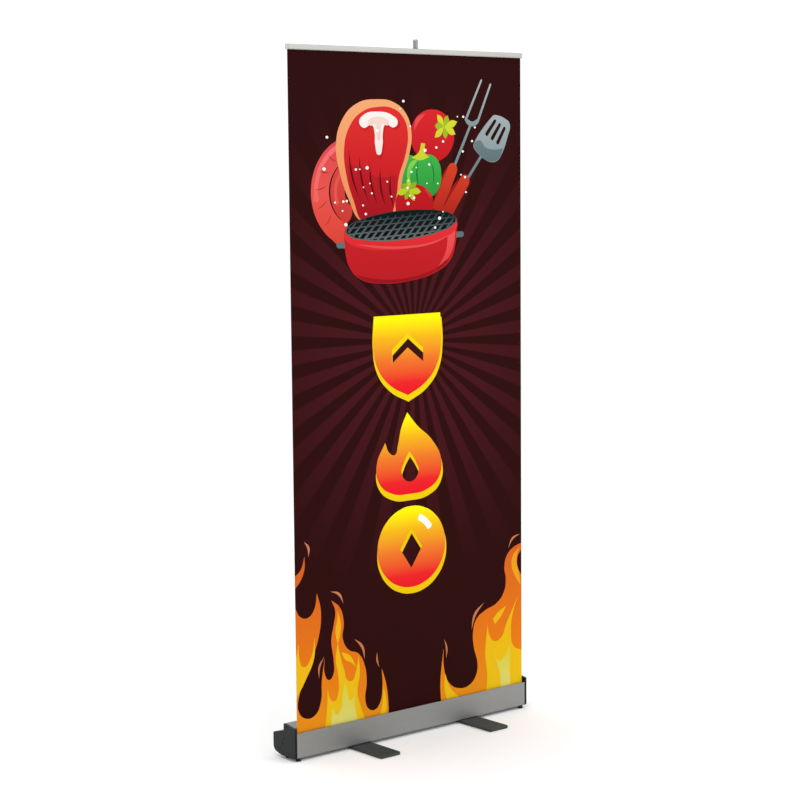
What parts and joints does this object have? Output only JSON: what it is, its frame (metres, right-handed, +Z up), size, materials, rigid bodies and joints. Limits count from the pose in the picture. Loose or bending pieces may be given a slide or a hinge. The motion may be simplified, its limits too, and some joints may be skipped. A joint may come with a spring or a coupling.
{
  "type": "roll-up banner stand",
  "caption": "Tall roll-up banner stand: spring roller in an aluminium base with swivel feet, sectional pole, top rail and printed graphic.",
  "frame": {"origin": "on the floor, under the middle of the base", "axes": "+X along the banner to the right as seen from the printed side, +Y to the rear, +Z up the pole"},
  "size_m": [0.942, 0.39, 2.129],
  "materials": {
    "anodised_aluminium": "satin clear anodised",
    "rail_aluminium": "satin clear anodised, pale",
    "cap_plastic": "moulded, fine texture, dark grey",
    "rail_plastic": "moulded, pale grey",
    "white_plastic": "moulded nylon",
    "black_steel": "black oxide screws",
    "zinc_steel": "bright zinc plated",
    "spring_steel": "oiled spring wire",
    "felt": "dense pressed felt",
    "blank_film": "blank white film",
    "printed_film": "matt printed banner film, dark maroon ground",
    "rubber": "moulded black rubber",
    "elastic_cord": "braided elastic cord",
    "tip_metal": "turned, satin",
    "foot_steel": "fine textured dark grey powder coat"
  },
  "bodies": {
    "base": {"base_housing": "anodised_aluminium", "end_cap_left": "cap_plastic", "end_cap_right": "cap_plastic", "cap_screws": "black_steel", "bracket_screws": "black_steel", "axle_bracket_left": "zinc_steel", "axle_bracket_right": "zinc_steel", "guide_rod": "zinc_steel", "slot_felt": "felt", "pole_socket": "cap_plastic", "spring_shaft": "zinc_steel", "spring_anchor": "white_plastic", "torsion_spring": "spring_steel", "idle_pin": "zinc_steel", "leader_web": "blank_film", "graphic": "printed_film", "base_pads": "rubber", "pivot_bolts": "zinc_steel", "pivot_washers": "white_plastic", "pivot_nuts": "zinc_steel"},
    "roller": {"roller_tube": "anodised_aluminium", "spring_plug": "cap_plastic", "idle_plug": "cap_plastic", "leader_wraps": "blank_film"},
    "top_rail": {"top_rail": "rail_aluminium", "hanger_strip": "white_plastic", "rail_cap_left": "rail_plastic", "rail_cap_right": "rail_plastic", "pole_clip": "cap_plastic", "clip_screws": "zinc_steel"},
    "pole_lower": {"pole_lower": "anodised_aluminium", "pole_foot": "cap_plastic", "ferrule_lower": "zinc_steel", "shock_cord": "elastic_cord"},
    "pole_middle": {"pole_middle": "anodised_aluminium", "ferrule_upper": "zinc_steel"},
    "pole_upper": {"pole_upper": "anodised_aluminium", "pole_tip": "tip_metal"},
    "foot_left": {"foot_left": "foot_steel", "foot_pads_left": "rubber"},
    "foot_right": {"foot_right": "foot_steel", "foot_pads_right": "rubber"}
  },
  "joints": [
    {"name": "rail_slide", "type": "slide", "parent": "base", "child": "top_rail", "axis": [0, 0, 1], "range_m": [-1.97, 0], "deforming": ["graphic"]},
    {"name": "roller_spin", "type": "hinge", "parent": "base", "child": "roller", "pos_m": [0, 0.0236, 0.046], "axis": [1, 0, 0], "range_deg": [0, 5912.3]},
    {"name": "pole_lower_lift", "type": "slide", "parent": "base", "child": "pole_lower", "axis": [0, 0, 1], "range_m": [0, 0.076]},
    {"name": "pole_middle_lift", "type": "slide", "parent": "pole_lower", "child": "pole_middle", "axis": [0, 0, 1], "range_m": [0, 0.05]},
    {"name": "pole_upper_lift", "type": "slide", "parent": "pole_middle", "child": "pole_upper", "axis": [0, 0, 1], "range_m": [0, 0.05], "deforming": ["shock_cord"]},
    {"name": "foot_left_swing", "type": "hinge", "parent": "base", "child": "foot_left", "pos_m": [-0.22, 0, 0], "axis": [0, 0, 1], "range_deg": [0, 90]},
    {"name": "foot_right_swing", "type": "hinge", "parent": "base", "child": "foot_right", "pos_m": [0.22, 0, 0], "axis": [0, 0, 1], "range_deg": [0, 90]}
  ],
  "couplings": [
    {"joint": "roller_spin", "follows": "rail_slide", "rad_per_m": -52.363}
  ]
}
